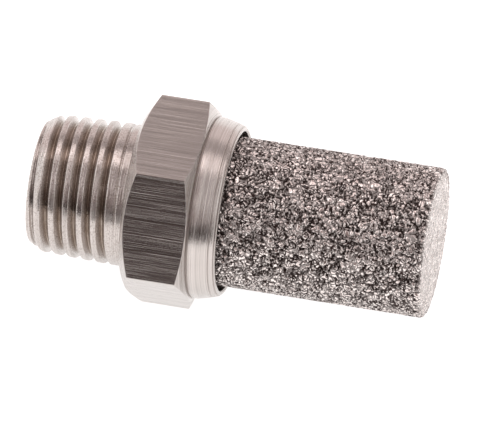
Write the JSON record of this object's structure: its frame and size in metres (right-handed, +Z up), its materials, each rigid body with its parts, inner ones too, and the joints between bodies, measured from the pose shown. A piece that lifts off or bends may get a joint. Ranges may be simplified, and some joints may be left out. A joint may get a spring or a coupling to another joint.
{
  "type": "pneumatic muffler",
  "caption": "Exhaust muffler: stainless body with tapered male pipe thread, hexagon and rolled collar holding a closed sintered steel cup.",
  "frame": {"origin": "on the axis, at the middle of the overall length", "axes": "+X along the axis from the end face of the thread to the closed end of the element; +Z up, square to the pair of hexagon flats that face up and down, the lower of which the muffler lies on"},
  "size_m": [0.0372, 0.0202, 0.0174],
  "materials": {
    "turned_stainless": "stainless steel: turned thread and collar, drawn and lightly brushed hexagon flats, no plating",
    "sintered_stainless": "sintered stainless steel chips, rough, open and porous"
  },
  "bodies": {
    "root": {"threaded_body": "turned_stainless", "sintered_element": "sintered_stainless"}
  },
  "joints": []
}
